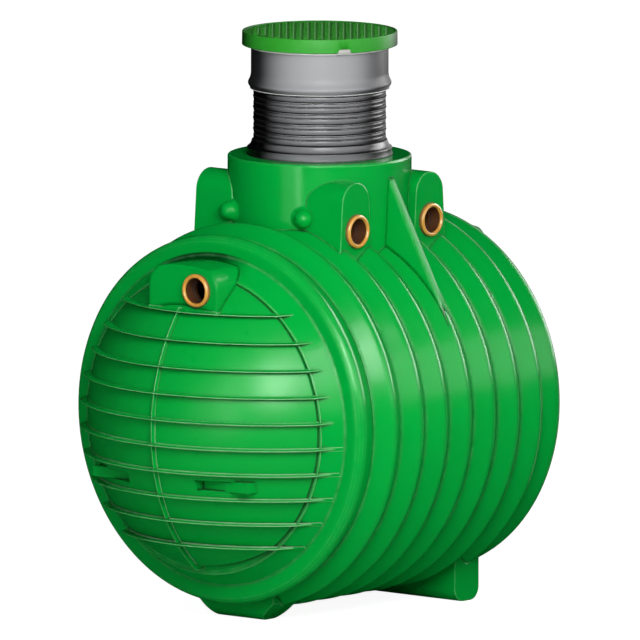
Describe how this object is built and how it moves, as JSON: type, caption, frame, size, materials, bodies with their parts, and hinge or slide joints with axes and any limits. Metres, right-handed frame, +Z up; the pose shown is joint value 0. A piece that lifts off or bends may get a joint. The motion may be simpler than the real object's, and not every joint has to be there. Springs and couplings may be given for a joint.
{
  "type": "septic tank",
  "caption": "Horizontal ribbed plastic tank with finned domed ends, an access neck with pipe ports, a corrugated riser, a telescopic sleeve and a lift-off lid.",
  "frame": {"origin": "on the ground under the middle of the tank, below the axis of the access shaft", "axes": "+Z up, the barrel's axis along Y with the inlet end at -Y, +X to the right seen from the inlet end"},
  "size_m": [1.6996, 2.319, 2.529],
  "materials": {
    "moulded_green": "satin moulded polyethylene",
    "socket_orange": "satin drain pipe plastic",
    "riser_black": "satin corrugated pipe",
    "sleeve_grey": "smooth pipe",
    "lid_green": "studded top, satin",
    "catch_grey": "satin"
  },
  "bodies": {
    "tank": {"barrel_shell": "moulded_green", "front_rim": "moulded_green", "rear_rim": "moulded_green", "front_dome": "moulded_green", "rear_dome": "moulded_green", "front_fins": "moulded_green", "rear_fins": "moulded_green", "front_spine": "moulded_green", "rear_spine": "moulded_green", "front_pads": "moulded_green", "rear_pads": "moulded_green", "inlet_housing": "moulded_green", "outlet_housing": "moulded_green", "access_neck": "moulded_green", "right_gusset": "moulded_green", "left_gusset": "moulded_green", "front_right_port": "moulded_green", "front_left_port": "moulded_green", "rear_right_port": "moulded_green", "rear_left_port": "moulded_green", "front_right_lug": "moulded_green", "front_left_lug": "moulded_green", "rear_right_lug": "moulded_green", "rear_left_lug": "moulded_green", "front_foot": "moulded_green", "rear_foot": "moulded_green", "inlet_socket": "socket_orange", "outlet_socket": "socket_orange", "front_right_socket": "socket_orange", "front_left_socket": "socket_orange", "rear_right_socket": "socket_orange", "rear_left_socket": "socket_orange", "riser_tube": "riser_black", "riser_collar": "riser_black"},
    "sleeve": {"sleeve_tube": "sleeve_grey", "sleeve_bead": "sleeve_grey"},
    "lid": {"lid_cover": "lid_green", "lid_catch": "catch_grey"}
  },
  "joints": [
    {"name": "sleeve_slide", "type": "slide", "parent": "tank", "child": "sleeve", "axis": [0, 0, 1], "range_m": [-0.075, 0.06]},
    {"name": "lid_lift", "type": "slide", "parent": "sleeve", "child": "lid", "axis": [0, 0, 1], "range_m": [0, 0.35]}
  ]
}
